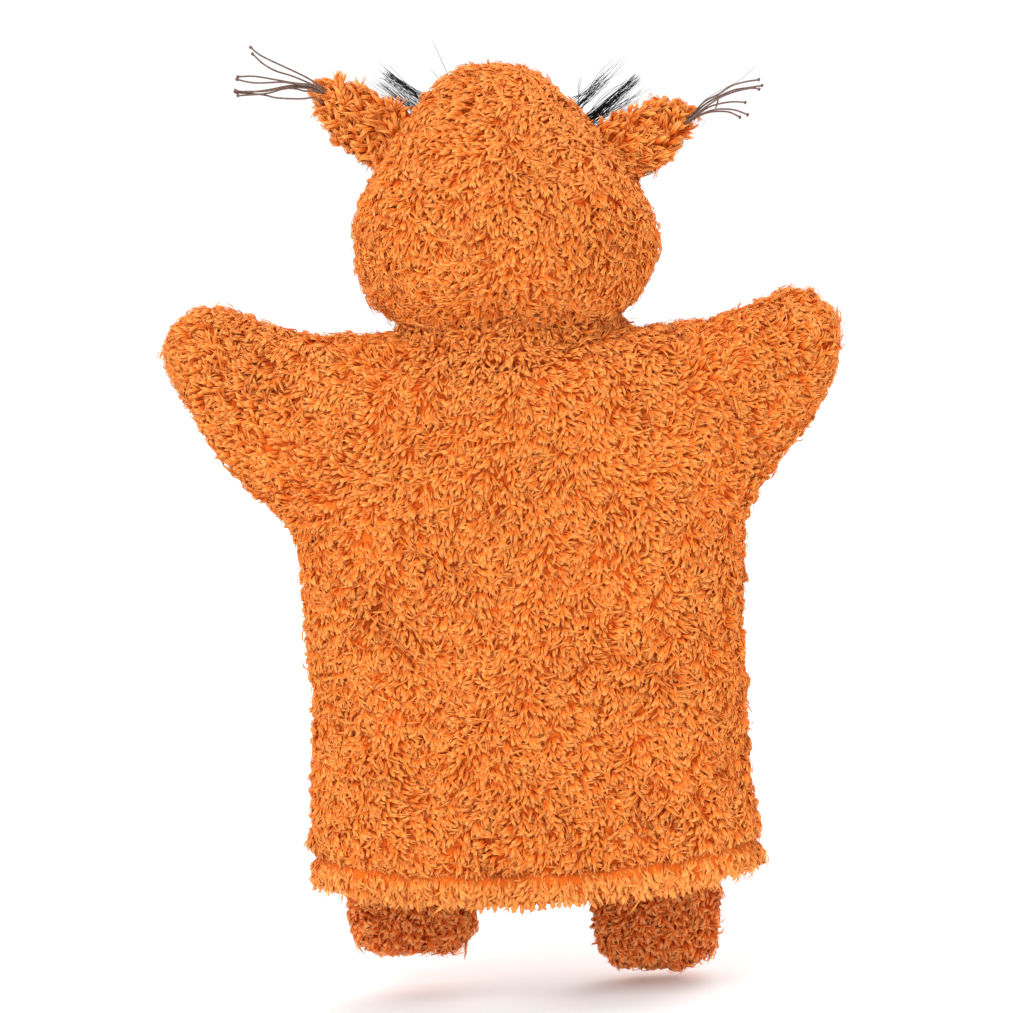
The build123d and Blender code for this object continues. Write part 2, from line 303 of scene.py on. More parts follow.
# ------------------------------------------------------------------ pile
FIBRE_ROWS = (0.0, 0.42, 0.82)          # places along a fibre that have two corners each
FIBRE_TAPER = (0.80, 1.0, 0.85)
FIBRE_TIP = 2 * len(FIBRE_ROWS)
FIBRE_FACES = np.array([(0, 1, 3), (0, 3, 2), (2, 3, 5), (2, 5, 4), (4, 5, FIBRE_TIP)])
LOCK_ROWS = (0.0, 0.42, 0.80)           # places along the body of a lock that have a ring of corners
LOCK_TAPER = (0.90, 1.0, 0.88)
LOCK_RING = ((1, 0), (0, 1), (-1, 0), (0, -1))
LOCK_TIP = 4 * len(LOCK_ROWS)
LOCK_THICK = 0.62                       # thickness of the body of a lock as a share of its width
LOCK_REACH = 0.96                       # its length as a share of that of its fibres
TIP_TUCK = 0.80                         # how far a tip bends back, as a share of the lock's height
SWIRL, RUFFLE = 0.38, 0.34              # how far wide and narrow waves turn the pile, radians
COMBED = 1.5                            # a flow longer than this combs the pile straight
COMBED_START = 0.34                     # its colours start here, past the painted shade of the roots, because its roots hardly show
FIBRE_DRIFT = 0.32 * MM                 # how far the tips of the fibres stray from the lock
SKIN_PLACE = 0.26                       # where the cloth lies along the colours of a lock, in the darker part painted as shade near the roots


def lock_faces():
    """Triangles of the body of one lock: rings of four corners and the tip."""
    faces = []
    for row in range(len(LOCK_ROWS) - 1):
        for k in range(4):
            a, b = 4 * row + k, 4 * row + (k + 1) % 4
            faces += [(a, b, b + 4), (a, b + 4, a + 4)]
    last = LOCK_TIP - 4
    return np.array(faces + [(last + k, last + (k + 1) % 4, LOCK_TIP) for k in range(4)])


LOCK_FACES = lock_faces()


def turned(vector, axis, angle):
    """Vectors turned about unit axes, one angle each."""
    c, s = np.cos(angle)[:, None], np.sin(angle)[:, None]
    on_axis = axis * np.sum(axis * vector, 1)[:, None]
    return vector * c + np.cross(axis, vector) * s + on_axis * (1 - c)


class Pile:
    """How the pile of one cloth grows, with sizes in metres and density in locks for each square
    metre. Height is length times rise; curl bends a lock sideways and stray turns it (radians);
    spread is how far the fibres stand from the middle of their lock; body is the width of a lock."""

    def __init__(self, seed, density=0.80e6, fibres=2, length=4.0 * MM, width=0.34 * MM, rise=0.50,
                 curl=1.5, stray=0.30, spread=0.45 * MM, body=1.20 * MM):
        self.seed, self.density, self.fibres = seed, density, fibres
        self.length, self.width, self.spread, self.body = length, width, spread, body
        self.rise, self.curl, self.stray = rise, curl, stray


swirl_noise = Waves(11, 34 * MM)
ruffle_noise = Waves(12, 11 * MM)
clump_noise = Waves(13, 6.5 * MM)
patch_noise = Waves(14, 30 * MM)
tuft_noise = Waves(15, 3.4 * MM)


def no_groom(points):
    """Pile of full height everywhere."""
    return np.ones(len(points))


def grow(skin, pile, flow, groom=no_groom):
    """Pile all over a skin. It is gathered into curling locks: the matted body of a lock is a soft
    tapering tube, and loose fibres run along it. Gives the corners of the bodies and of the fibres
    and where each corner lies in the colour map. flow(points) says which way the pile lies, and
    groom(points) how tall it stands, as a share of its full height."""
    rng = np.random.default_rng(pile.seed)
    count = int(skin.areas.sum() * pile.density)
    face = rng.choice(len(skin.faces), count, p=skin.areas / skin.areas.sum())
    face.sort()
    r1, r2 = np.sqrt(rng.random(count)), rng.random(count)
    share = np.stack([1 - r1, r1 * (1 - r2), r1 * r2], 1)[:, :, None]
    corner = skin.faces[face]
    root = (skin.points[corner] * share).sum(1)
    normal = unit((skin.normals[corner] * share).sum(1))

    along = flow(root)
    along = along - normal * np.sum(along * normal, 1)[:, None]
    pull = np.linalg.norm(along, axis=1)
    lost = np.clip(1 - 2.2 * pull, 0, 1)            # where the flow has hardly any direction
    along = unit(along)
    swing = SWIRL * swirl_noise(root) + RUFFLE * ruffle_noise(root)
    swing = (swing + (pile.stray + 2 * lost) * rng.normal(size=count)) / np.maximum(pull, 1)
    along = turned(along, normal, swing)
    across = np.cross(normal, along)
    start = np.where(pull > COMBED, COMBED_START, 0.0)[:, None]

    tall = groom(root)
    clump = clump_noise(root) * 0.55 + tuft_noise(root) * 0.55
    length = np.clip(1 + 0.20 * rng.normal(size=count) + 0.10 * clump, 0.5, 1.5)
    length = pile.length * length * (0.15 + 0.85 * tall)
    height = np.clip(1 + 0.28 * rng.normal(size=count) + 0.42 * clump, 0.2, 1.9)
    height = pile.rise * height * tall
    curl = pile.curl * rng.normal(size=count)
    hook = np.sign(rng.normal(size=count))
    tone_and_shade = 0.56 + 0.08 * patch_noise(root) + 0.08 * clump + 0.10 * rng.normal(size=count)
    # painted shade: locks are darker where the pile is pinched short, in the hem crease, round the eyes and
    # under the muzzle
    tone_and_shade = tone_and_shade - 0.40 * (1 - tall)

    def spine(t):
        """The middle line of each lock at a place t along it, as a share of its length."""
        up = height * (1 - (1 - t) ** 1.7) - TIP_TUCK * height * t**4
        bend = curl * (0.30 * t**2 - 0.20 * hook * t**3)
        reach_out = t * (1 - 0.22 * height)
        return reach_out[:, None] * along + up[:, None] * normal + bend[:, None] * across

    bodies = np.zeros((count, LOCK_TIP + 1, 3))
    bodies_uv = np.zeros((count, LOCK_TIP + 1, 2))
    wide = pile.body * np.clip(1 + 0.22 * rng.normal(size=count), 0.55, 1.5)[:, None] / 2
    thick = LOCK_THICK * wide
    body_tone_and_shade = np.clip(tone_and_shade, 0.04, 0.96)
    for row, t in enumerate(LOCK_ROWS):
        middle = root + LOCK_REACH * length[:, None] * spine(t) - (1 - t) * 0.2 * MM * normal
        for k, (a, b) in enumerate(LOCK_RING):
            corner = LOCK_TAPER[row] * (a * wide * across + b * thick * normal)
            bodies[:, 4 * row + k] = middle + corner
            place = start + (1 - start) * t
            bodies_uv[:, 4 * row + k] = np.column_stack([body_tone_and_shade + 0.03 * a, place])
    bodies[:, LOCK_TIP] = root + LOCK_REACH * length[:, None] * spine(1.0)
    bodies_uv[:, LOCK_TIP] = np.column_stack([body_tone_and_shade, np.ones(count)])

    # the loose fibres are rooted round the middle of their lock and drawn together towards its tip
    each = np.repeat(np.arange(count), pile.fibres)
    total = len(each)
    own_length = length[each] * np.clip(1.0 + 0.12 * rng.normal(size=total), 0.6, 1.25)
    offset = rng.normal(size=(total, 2)) * pile.spread
    offset = offset[:, :1] * across[each] + np.abs(offset[:, 1:]) * normal[each]
    roll = 0.75 * rng.normal(size=total)
    side = across[each] * np.cos(roll)[:, None] + normal[each] * np.sin(roll)[:, None]
    drift = rng.normal(size=(total, 3)) * FIBRE_DRIFT
    half = pile.width * np.clip(1 + 0.25 * rng.normal(size=total), 0.5, 1.6) / 2
    own_tone_and_shade = np.clip(tone_and_shade[each] + 0.13 * rng.normal(size=total), 0.02, 0.98)
    fibres = np.zeros((total, FIBRE_TIP + 1, 3))
    fibres_uv = np.zeros((total, FIBRE_TIP + 1, 2))
    for row, t in enumerate(FIBRE_ROWS + (1.0,)):
        middle = root[each] + own_length[:, None] * spine(t)[each]
        middle = middle + offset * (1 - 0.6 * t) + drift * t
        if row == len(FIBRE_ROWS):
            fibres[:, FIBRE_TIP] = middle
            fibres_uv[:, FIBRE_TIP] = np.column_stack([own_tone_and_shade, np.full(total, t)])
            continue
        step = side * (half * FIBRE_TAPER[row])[:, None]
        fibres[:, 2 * row] = middle - step
        fibres[:, 2 * row + 1] = middle + step
        place = start[each] + (1 - start[each]) * t
        fibres_uv[:, 2 * row] = np.column_stack([own_tone_and_shade - 0.01, place])
        fibres_uv[:, 2 * row + 1] = np.column_stack([own_tone_and_shade + 0.01, place])
    for uv in (bodies_uv, fibres_uv):       # clear of the borders of the map
        uv[:, :, 0] = 0.02 + 0.96 * uv[:, :, 0]
        uv[:, :, 1] = 0.06 + 0.92 * uv[:, :, 1]
    return (bodies, bodies_uv), (fibres, fibres_uv)


def furry_mesh(name, skin, pile, flow, groom=no_groom):
    """One mesh: the backing cloth and the pile on it."""
    # the cloth is darker where the pile is pinched short, painted shade in the hem crease, round the eyes
    # and under the muzzle; its patches differ at random
    skin_tone_and_shade = 0.5 + 0.2 * patch_noise(skin.points) - 0.5 * (1 - groom(skin.points))
    skin_uv = np.column_stack([skin_tone_and_shade, np.full(len(skin.points), SKIN_PLACE)])
    points, uv, faces = [skin.points], [np.clip(skin_uv, 0.02, 0.98)], [skin.faces]
    start = len(skin.points)
    for (corners, corner_uv), pattern in zip(grow(skin, pile, flow, groom), (LOCK_FACES, FIBRE_FACES)):
        each = corners.shape[1]
        first = start + np.arange(len(corners)) * each
        points.append(corners.reshape(-1, 3))
        uv.append(corner_uv.reshape(-1, 2))
        faces.append((pattern[None] + first[:, None, None]).reshape(-1, 3))
        start += corners.shape[0] * each
    return mesh_from(name, np.vstack(points), np.vstack(faces), np.vstack(uv))


def mesh_from(name, points, faces, uv=None):
    """A smooth mesh of triangles; uv holds the place of each point in the colour map."""
    mesh = bpy.data.meshes.new(name)
    mesh.vertices.add(len(points))
    mesh.vertices.foreach_set("co", np.ascontiguousarray(points, np.float32).ravel())
    mesh.loops.add(faces.size)
    mesh.loops.foreach_set("vertex_index", np.ascontiguousarray(faces, np.int32).ravel())
    mesh.polygons.add(len(faces))
    mesh.polygons.foreach_set("loop_start", np.arange(0, faces.size, faces.shape[1], dtype=np.int32))
    mesh.polygons.foreach_set("use_smooth", np.ones(len(faces), bool))
    if uv is not None:
        layer = mesh.uv_layers.new(name=UV_NAME)
        layer.uv.foreach_set("vector", np.ascontiguousarray(uv[faces.ravel()], np.float32).ravel())
    mesh.update(calc_edges=True)
    mesh.validate()
    return mesh


def piece(mesh, material, slot, body=None, replaces=()):
    """A shown object named as its mesh. It rides on a body if one is given."""
    obj = bpy.data.objects.new(mesh.name, mesh)
    bpy.context.collection.objects.link(obj)
    mesh.materials.append(material)
    if body:
        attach(obj, body)
    if replaces:
        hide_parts(*replaces)
    return obj


# ------------------------------------------------------------------ materials
def linear(colour):
    """A colour given as on a screen, 0 to 255, in linear light."""
    out = []
    for value in colour:
        c = value / 255
        out.append(c / 12.92 if c <= 0.04045 else ((c + 0.055) / 1.055) ** 2.4)
    return (*out, 1.0)


class Paint:
    """A principled material that is put together node by node."""

    def __init__(self, name, roughness, sheen=0.0, specular=0.5):
        self.material = bpy.data.materials.new(name)
        self.material.use_nodes = True
        self.tree = self.material.node_tree
        self.shader = self.tree.nodes["Principled BSDF"]
        self.feed(self.shader, {
            "Roughness": roughness, "Specular IOR Level": specular, "Sheen Weight": sheen,
            "Sheen Roughness": 0.6,
        })

    def feed(self, node, inputs):
        """Sets inputs of a node, or links them to outputs of others."""
        for key, value in inputs.items():
            if isinstance(value, bpy.types.NodeSocket):
                self.tree.links.new(value, node.inputs[key])
            else:
                node.inputs[key].default_value = value

    def add(self, kind, inputs=None, **settings):
        """A new node; gives its outputs."""
        node = self.tree.nodes.new("ShaderNode" + kind)
        for key, value in settings.items():
            setattr(node, key, value)
        self.feed(node, inputs or {})
        return node.outputs

    def maths(self, operation, a, b):
        return self.add("Math", {0: a, 1: b}, operation=operation)[0]

    def ramp(self, value, stops):
        """The colour that (place, colour) stops give to a value."""
        colour = self.add("ValToRGB", {0: value})[0]
        elements = colour.node.color_ramp.elements
        while len(elements) < len(stops):
            elements.new(0.5)
        for element, (place, shade) in zip(elements, stops):
            element.position = place
            element.color = shade
        return colour

    def noise(self, vector, scale, detail):
        """Fine noise over a vector stretched by three scales."""
        stretched = self.add("Mapping", {0: vector, "Scale": scale})[0]
        return self.add("TexNoise", {"Vector": stretched, "Scale": 1.0, "Detail": detail})[0]

    def relief(self, height, strength, distance):
        bump = self.add("Bump", {"Height": height, "Strength": strength, "Distance": distance})[0]
        self.feed(self.shader, {"Normal": bump})


def pile_material(name, root, low, body, tip):
    """Colour runs from the root to the tip of each lock, dark at the root as painted shade deep in the pile
    and bright towards the tip as painted light shining through the fibres. It differs from lock to lock,
    with fine streaks for the single fibres."""
    root, low, body, tip = (linear(colour) for colour in (root, low, body, tip))
    paint = Paint(name, 0.72, 0.04, 0.10)
    uv = paint.add("UVMap", uv_map=UV_NAME)[0]
    across, along, _ = paint.add("SeparateXYZ", {0: uv})
    fibres = paint.noise(uv, (150.0, 5.0, 1.0), 2.0)
    wobble = paint.maths("MULTIPLY", paint.maths("SUBTRACT", fibres, 0.5), 0.42)
    place = paint.maths("ADD", along, wobble)
    # dark roots are painted shade deep in the pile, bright tips are painted light shining through the
    # fibres
    colour = paint.ramp(place, [(0.0, root), (0.26, low), (0.50, body), (0.76, tip), (1.0, body)])
    # the dark end of the tone is painted shade where the pile is pinched short; above it the tone differs
    # at random from lock to lock
    tone_and_shade = paint.ramp(across, [
        (0.0, (0.42, 0.30, 0.22, 1)), (0.22, (0.74, 0.60, 0.52, 1)),
        (0.5, (0.93, 0.91, 0.89, 1)), (1.0, (1, 1, 1, 1)),
    ])
    mixed = paint.add("Mix", {0: 1.0, 6: colour, 7: tone_and_shade}, data_type="RGBA", blend_type="MULTIPLY")
    rough = paint.add("MapRange", {0: fibres, "To Min": 0.62, "To Max": 0.86})
    paint.feed(paint.shader, {"Base Color": mixed[2], "Roughness": rough[0]})
    return paint.material


# pile colours from root to tip: painted shade at the roots, painted light towards the tips
PLUSH = pile_material("plush_pile", (214, 76, 0), (232, 108, 24), (243, 142, 54), (252, 172, 92))
# the feet's plush: the same cloth with darker roots, painted shade from under the hem
SHADED_FOOT_PLUSH = pile_material("foot_pile_painted_shade", (170, 52, 0), (222, 90, 16), (250, 128, 48), (255, 176, 104))
CREAM = pile_material("cream_pile", (206, 182, 150), (232, 214, 188), (248, 238, 220), (255, 250, 240))


def mottled(name, dark, light, size, roughness, bump=0.0, stretch=(1, 1, 1), specular=0.4, sheen=0.0):
    """Two colours mixed by fine noise, with the same noise as relief; size is the grain in mm."""
    size = size * MM
    paint = Paint(name, roughness, sheen, specular)
    place = paint.add("TexCoord")["Object"]
    noise = paint.noise(place, tuple(value / size for value in stretch), 3.0)
    colour = paint.ramp(noise, [(0.3, linear(dark)), (0.7, linear(light))])
    paint.feed(paint.shader, {"Base Color": colour})
    if bump:
        paint.relief(noise, bump, size * 0.5)
    return paint.material


def knit_material(name, dark, light, rib=0.9 * MM):
    """Fine knitted cotton: upright ribs crossed by rows of loops."""
    paint = Paint(name, 0.9, 0.3, 0.15)
    place = paint.add("TexCoord")["Object"]
    bands = []
    for direction, spacing in (("X", rib), ("Z", rib * 1.3)):
        inputs = {"Vector": place, "Scale": math.pi / (10 * spacing), "Distortion": 0.6}
        bands.append(paint.add("TexWave", inputs, bands_direction=direction)["Fac"])
    loops = paint.maths("MULTIPLY", bands[0], paint.maths("ADD", bands[1], 0.5))
    colour = paint.ramp(loops, [(0.1, linear(dark)), (0.9, linear(light))])
    paint.feed(paint.shader, {"Base Color": colour})
    paint.relief(loops, 0.5, rib * 0.4)
    return paint.material


KNIT = knit_material("lining_knit", (150, 70, 25), (214, 118, 58))
WOOL = mottled("stuffing_wool", (214, 208, 194), (246, 243, 236), 1.6, 0.95, 0.7, sheen=0.3)
BOARD = mottled("tube_board", (128, 110, 86), (172, 152, 122), 1.2, 0.85, 0.25, (1, 1, 6))
VELVET = mottled("nose_velvet", (22, 13, 10), (54, 32, 25), 0.35, 0.8, 0.5, specular=0.2, sheen=0.10)
GLOSS = mottled("eye_gloss", (5, 5, 7), (13, 12, 15), 2.0, 0.10, specular=0.35)
WASHER = mottled("washer_plastic", (214, 214, 208), (232, 232, 228), 1.5, 0.45)
WAXED = mottled("waxed_thread", (62, 40, 32), (134, 102, 88), 0.5, 0.55, 0.4, specular=0.4)
HAIR = mottled("long_hair", (6, 7, 11), (26, 28, 38), 1.0, 0.6, specular=0.12)
SEWING = mottled("sewing_thread", (176, 74, 20), (222, 112, 44), 0.3, 0.7, 0.3)
EMBROIDERY = mottled("dark_thread", (34, 20, 16), (70, 46, 38), 0.3, 0.7, 0.3)


# ------------------------------------------------------------------ the T-shaped body
def hem_height_at(x, level=0.0):
    """Height of the lower edge, an arc that starts at this level in the middle."""
    radius = (half_width**2 + hem_rise**2) / (2 * hem_rise)
    return level + radius - np.sqrt(radius**2 - np.asarray(x, float) ** 2)


# how far along X and Z the end of each arm lies from the even shape, and how far out the right
# side of the hem does
LEFT_ARM_SHIFT = np.array([3.2, 0.2]) * MM
RIGHT_ARM_SHIFT = np.array([3.6, -1.6]) * MM
RIGHT_HEM_SHIFT = 2.6 * MM


def body_edge(inset):
    """The outline from below the hem round the whole T and back, drawn in from the pile."""
    half = [
        (half_width + 2.8 * MM, -60 * MM),
        (half_width + 2.8 * MM, 12 * MM),
        (half_width + 0.8 * MM, waist_height * 0.5),
        (half_width + 0.3 * MM, waist_height),
        (half_width + 0.8 * MM, armpit_height - 26 * MM),
        (half_width + 1.2 * MM, armpit_height - 10 * MM),
        (half_width + 4.5 * MM, armpit_height),
        (half_width + 13.6 * MM, armpit_height + 10.5 * MM),
        (half_width + 25 * MM, armpit_height + 24.5 * MM),
        (reach - 3.4 * MM, hand_top - 32.3 * MM),
        (reach + 0.6 * MM, hand_top - 19.5 * MM),
        (reach - 1 * MM, hand_top - 9 * MM),
        (reach - 9.5 * MM, hand_top - 1.2 * MM),
        (reach - 19 * MM, hand_top + 0.2 * MM),
        (reach - 30 * MM, hand_top - 4.5 * MM),
        (half_width - 5 * MM, body_top + 4.8 * MM),
        (half_width - 22 * MM, body_top + 3.8 * MM),
        (30 * MM, body_top + 4 * MM),
        (0, body_top + 4 * MM),
    ]
    half = np.array(half)
    other = half[-2::-1] * (-1, 1)
    out = np.clip((-other[:, 0] - half_width) / (reach - half_width), 0, 1)[:, None]
    other += out * RIGHT_ARM_SHIFT
    other[:, 0] -= RIGHT_HEM_SHIFT * (other[:, 1] < 14 * MM)
    half += np.clip((half[:, :1] - half_width) / (reach - half_width), 0, 1) * LEFT_ARM_SHIFT
    whole = np.vstack([half, other])
    curve = smooth_curve(whole, 3.2 * MM)
    along = unit(np.gradient(curve, axis=0))
    return curve + np.stack([-along[:, 1], along[:, 0]], 1) * inset


ARM_DEPTH = 15.5 * MM                   # half the thickness of an arm
DEPTH_CHANGE = (42 * MM, 46 * MM)       # where the sleeve starts to thin, and over what width


def body_depth(inset):
    """Half the thickness of the body, less towards the arms."""
    def depth(flat):
        x = np.abs(flat[:, 0])
        t = np.clip((x - DEPTH_CHANGE[0]) / DEPTH_CHANGE[1], 0, 1)
        full = half_depth - inset
        return full + (ARM_DEPTH - 0.6 * inset - full) * t * t * (3 - 2 * t)
    return depth


def body_skin(inset, spacing, hem_level):
    """The sleeve, shoulders and arms as one skin, open along the curved hem line."""
    edge = body_edge(inset)
    low = hem_height_at(edge[:, 0].clip(-half_width, half_width), hem_level)
    above = edge[edge[:, 1] > low + 0.5 * MM]
    x = np.linspace(above[-1, 0], above[0, 0], 60)
    hem = np.column_stack([x, hem_height_at(x, hem_level)])
    skin = pillow(np.vstack([above, hem]), edge, body_depth(inset), spacing)
    sag = Waves(21, 46 * MM)(skin.points) * 0.9 * MM
    keep = np.clip((skin.points[:, 2] - 10 * MM) / (30 * MM), 0, 1)
    from_crease = np.abs(above_hem(skin.points) - crease_height)
    groove = crease_depth * np.clip(1 - from_crease / crease_reach, 0, 1)
    skin.points = skin.points + skin.normals * (sag * keep - groove)[:, None]
    # the top swells round the bound neck inside it
    x, y, z = skin.points.T
    near = np.clip(1 - np.abs(z - bound_height) / bound_reach, 0, 1)
    swell = (bound_radius + PILE - inset) ** 2 - x**2
    swell = np.sqrt(np.clip(swell, 0, None)) * near * near * (3 - 2 * near)
    skin.points[:, 1] = np.where(y < 0, np.minimum(y, -swell), np.maximum(y, swell))
    centres = skin.centres()
    neck_hole = near_axis(centres, neck_hole_radius) & (centres[:, 2] > body_top - 14 * MM)
    return skin.part(~neck_hole)


def above_hem(points):
    """Height over the curved lower edge."""
    return points[:, 2] - hem_height_at(points[:, 0].clip(-half_width, half_width))


def body_groom(points):
    """The pile is pinched short where the hem is stitched up."""
    height = above_hem(points) - crease_height
    over = np.clip(height / (4.2 * MM), 0, 1)
    under = np.clip(-height / (1.2 * MM), 0, 1)
    return 0.05 + 0.95 * np.where(height > 0, over, under)


arm_tilt = math.radians(40)             # below the shoulder the fold runs to the armpit
fold_start = shoulder_x - 26 * MM


def fold_place(points):
    """How far out along the arm a point is, as a place on the line through the shoulder."""
    x, z = np.abs(points[:, 0]), points[:, 2]
    return x + np.minimum(z - shoulder_z, 0) * math.tan(arm_tilt)


def zone_masks(centres):
    """Masks of the faces of each zone of the body."""
    x, z = centres[:, 0], centres[:, 2]
    low = z < waist_zone[1]
    place = fold_place(centres)
    arm = ~low & (place > fold_start)
    masks = {"lower": low, "upper": ~low & ~arm}
    for side, sign in SIDES.items():
        here = arm & (x * sign > 0)
        top = z >= shoulder_z
        outer = place > shoulder_x
        masks[side + "_shoulder_top"] = here & ~outer & top
        masks[side + "_shoulder_bottom"] = here & ~outer & ~top
        masks[side + "_arm_top"] = here & outer & top
        masks[side + "_arm_bottom"] = here & outer & ~top
    return masks


def join_to_bodies(obj, zone):
    """Rides a piece of the upper zone on the torso; the pieces of the other zones stay where they are."""
    if zone == "lower":
        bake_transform(obj)
        return
    if zone == "upper":
        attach(obj, "torso")
        return
    side, part, level = zone.split("_")
    if part == "shoulder":
        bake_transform(obj)
    else:
        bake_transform(obj)


def body_flow(points):
    """The pile runs down the sleeve, spreads from the neck and points outwards on the arms."""
    x, z = points[:, 0], points[:, 2]
    spread = np.clip((z - 95 * MM) / (95 * MM), 0, 1) ** 1.5
    out = np.clip((fold_place(points) - fold_start + 18 * MM) / (40 * MM), 0, 1)
    fx = np.sign(x) * (0.10 + 0.9 * spread * np.minimum(np.abs(x) / (30 * MM), 1) + 1.6 * out)
    fz = -1.0 + 0.75 * out
    straight = np.where(above_hem(points) < crease_height, 2.6, 1.0)[:, None]
    return unit(np.column_stack([fx, np.zeros(len(x)), fz])) * straight


def body_parts(skin):
    """The zones of a body skin, the sleeve in quarters: (name, zone, part)."""
    centres = skin.centres()
    for zone, mask in zone_masks(centres).items():
        if zone not in ("lower", "upper"):
            yield zone, zone, skin.part(mask)
            continue
        for side, sign in SIDES.items():
            half = mask & (centres[:, 0] * sign > 0)
            yield f"{zone}_front_{side}", zone, skin.part(half & (centres[:, 1] < 0))
            yield f"{zone}_back_{side}", zone, skin.part(half & (centres[:, 1] >= 0))


PLUSH_STANDS_FOR = {
    "lower_front_left": ["skirt_front_panel"], "lower_back_left": ["skirt_back_panel"],
    "upper_front_left": ["torso_front_panel"], "upper_back_left": ["torso_back_panel"],
    "left_arm_top": ["left_arm_back_panel"], "left_arm_bottom": ["left_arm_front_panel"],
    "right_arm_top": ["right_arm_back_panel"], "right_arm_bottom": ["right_arm_front_panel"],
}
LINING_STANDS_FOR = {
    "lower_front_left": ["skirt_lining"], "upper_front_left": ["torso_lining"],
    "left_arm_top": ["left_arm_lining"], "right_arm_top": ["right_arm_lining"],
}


def make_body():
    """The plush outside of the sleeve, shoulders and arms."""
    pile = Pile(101)
    for name, zone, part in body_parts(body_skin(PILE, 4 * MM, 2.4 * MM)):
        pile.seed += 1
        mesh = furry_mesh(name + "_plush", part, pile, body_flow, body_groom)
        obj = piece(mesh, PLUSH, "plush", replaces=PLUSH_STANDS_FOR.get(name, ()))
        join_to_bodies(obj, zone)


def make_lining():
    """Knitted cotton inside the plush, seen through the hand opening."""
    skin = body_skin(PILE + 3.4 * MM, 5 * MM, hem_height - 1 * MM).reversed()
    for name, zone, part in body_parts(skin):
        mesh = mesh_from(name + "_lining", part.points, part.faces)
        obj = piece(mesh, KNIT, "lining", replaces=LINING_STANDS_FOR.get(name, ()))
        join_to_bodies(obj, zone)


def make_hem():
    """The plush turned up inside the hand opening, its pile facing the hand."""
    skin = body_skin(PILE + 2.0 * MM, 3 * MM, 3.0 * MM)
    height = above_hem(skin.centres())
    band = skin.part(height < hem_height).reversed()
    pile = Pile(151, length=3.2 * MM, rise=0.35)

    def flow(points):
        return np.tile([0, 0, -1.0], (len(points), 1))

    mesh = furry_mesh("hem_band_plush", band, pile, flow)
    piece(mesh, PLUSH, "plush", "skirt", ["hem_band"])


NECK_PROFILE = (
    # height, half width, half depth, mm
    (176.0, 24.0, 13.0), (177.5, 28.0, 15.0), (183.0, 34.0, 18.0), (188.5, 36.0, 19.5),
    (193.0, 32.0, 18.0), (196.0, 25.0, 15.0), (197.0, 20.0, 12.0),
)


def make_neck():
    """The gathered neck under the head: it fills the crease when the head nods or turns."""
    skin = lathe([(z * MM, w * MM, d * MM) for z, w, d in NECK_PROFILE], 56)
    skin = skin.part(~near_axis(skin.centres(), 11.5 * MM))

    def flow(points):
        return points * (1, 1, 0) + (0, 0, -0.02)

    mesh = furry_mesh("neck_plush", skin, Pile(161), flow)
    piece(mesh, PLUSH, "plush", "neck", ["neck_gather"])


def make_shoulder_cuffs():
    """Ribbed cuffs of the lining at the mouth of each finger pocket."""
    turns, rows, ribs = 96, 9, 24
    angle = np.linspace(0, 2 * np.pi, turns, endpoint=False)
    rib = 0.22 * MM * np.cos(ribs * angle)
    length, outer_radius, inner_radius = 8 * MM, 10.9, 9.9
    for side, sign in SIDES.items():
        rings = []
        for outer, order in ((True, 1), (False, -1)):
            for i in range(rows)[::order]:
                t = i / (rows - 1)
                radius = (outer_radius if outer else inner_radius) * MM + rib
                radius = radius - 0.5 * MM * (2 * t - 1) ** 4 * order
                x = np.full(turns, (shoulder_x + (t - 0.5) * length) * sign)
                y, z = radius * np.cos(angle), shoulder_z + radius * np.sin(angle)
                rings.append(np.column_stack([x, y, z]))
        points, faces = tube_faces(rings, closed=True)
        mesh = mesh_from(side + "_cuff_ribs", points, faces)
        piece(mesh, KNIT, "lining", side + "_shoulder", [side + "_shoulder_cuff"])


# ------------------------------------------------------------------ head
HEAD_PROFILE = (
    # height, half width, half depth of the outside of the pile, mm
    (185.2, 0.0, 0.0), (185.6, 16.0, 10.0), (187.4, 31.0, 20.0), (193.2, 41.5, 30.0), (202.4, 48.0, 37.0),
    (214.0, 51.2, 41.5), (223.0, 50.2, 42.5), (231.0, 47.0, 41.5), (239.0, 43.0, 38.5), (247.0, 37.8, 34.0),
    (255.0, 31.8, 28.8), (263.0, 25.6, 23.4), (270.0, 18.2, 17.0), (275.0, 10.0, 9.5), (277.0, 0.0, 0.0),
)
head_middle = np.array([0, 0, 222 * MM])
crown_lean = 4.0 * MM                   # how far the back of the crown sits to the left of the middle


def head_skin(inset):
    """The head as one closed skin, drawn in from the outside of the pile."""
    middle = 0.5 * (HEAD_PROFILE[0][0] + HEAD_PROFILE[-1][0])
    reach_up = 0.5 * (HEAD_PROFILE[-1][0] - HEAD_PROFILE[0][0])
    shrink = 1 - inset / MM / reach_up
    profile = []
    for z, w, d in HEAD_PROFILE:
        w_in = w * (1 - inset / MM / 51.0)
        d_in = d * (1 - inset / MM / 42.0)
        profile.append(((middle + (z - middle) * shrink) * MM, w_in * MM, d_in * MM))
    skin = lathe(profile, 84, 2.1)
    points = skin.points + skin.normals * (Waves(31, 30 * MM)(skin.points) * 0.7 * MM)[:, None]
    share = np.sqrt(np.clip((points[:, 2] - head_middle[2]) / (52 * MM), 0, 1))
    points[:, 0] += crown_lean * share * np.clip((points[:, 1] + 12 * MM) / (24 * MM), 0, 1)
    return Skin(points, skin.faces)


